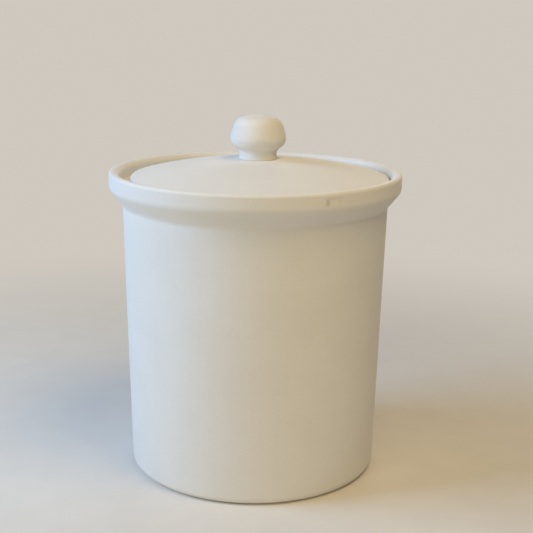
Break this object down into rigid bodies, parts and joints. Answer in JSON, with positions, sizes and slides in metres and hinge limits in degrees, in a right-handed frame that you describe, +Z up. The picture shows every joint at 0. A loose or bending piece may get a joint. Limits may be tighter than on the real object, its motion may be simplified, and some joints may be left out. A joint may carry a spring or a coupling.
{
  "type": "lidded ceramic jar",
  "caption": "Straight-sided storage jar in matt white ware, with a flared collar, a domed lid that drops onto an inner gallery, and a round hollow finger knob.",
  "frame": {"origin": "middle of the ring that the jar stands on, in the standing plane, on the jar's axis", "axes": "+Z up along the jar's axis; -Y faces the viewer of the picture and +X is to the viewer's right"},
  "size_m": [0.17, 0.17, 0.2096],
  "materials": {
    "bisque": "unglazed, matt, fine-grained off-white"
  },
  "bodies": {
    "jar": {"jar": "bisque"},
    "lid": {"lid": "bisque", "knob": "bisque"}
  },
  "joints": [
    {"name": "lid_lift", "type": "slide", "parent": "jar", "child": "lid", "axis": [0, 0, 1], "range_m": [0, 0.12]}
  ]
}
